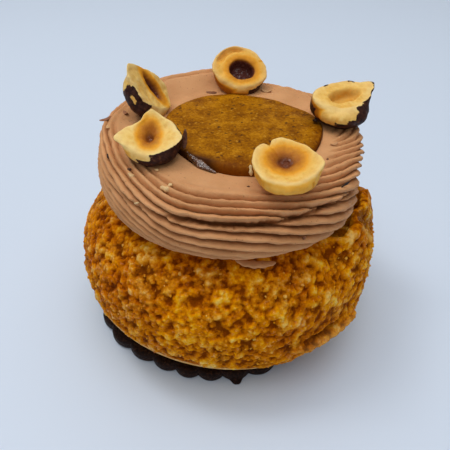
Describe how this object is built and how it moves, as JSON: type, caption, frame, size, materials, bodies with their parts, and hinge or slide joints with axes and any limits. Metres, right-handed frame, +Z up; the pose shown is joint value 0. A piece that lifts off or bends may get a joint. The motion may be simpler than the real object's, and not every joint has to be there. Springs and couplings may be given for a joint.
{
  "type": "choux bun",
  "caption": "Round craggy choux bun on a scalloped cocoa biscuit, topped with a ridged ring of piped cream, a praline disc and roasted hazelnut halves.",
  "frame": {"origin": "middle of the bounding box, on the flat underside that the biscuit stands on", "axes": "+Z up, the pictured front looks towards -Y, +X to the right of that view"},
  "size_m": [0.0828, 0.0826, 0.0663],
  "materials": {
    "cocoa": "baked cocoa biscuit, dark with a dull shine",
    "crust": "baked sugar crust, golden, crumbly and dull",
    "cream": "piped milk-chocolate cream, soft satin",
    "praline": "set praline, speckled, moist shine",
    "hazelnut": "roasted nut, satin, browned in the hollow"
  },
  "bodies": {
    "root": {"cocoa_base": "cocoa", "choux_bun": "crust", "cream_ring": "cream", "praline_disc": "praline", "hazelnut_1": "hazelnut", "hazelnut_2": "hazelnut", "hazelnut_3": "hazelnut", "hazelnut_4": "hazelnut", "hazelnut_5": "hazelnut"}
  },
  "joints": []
}
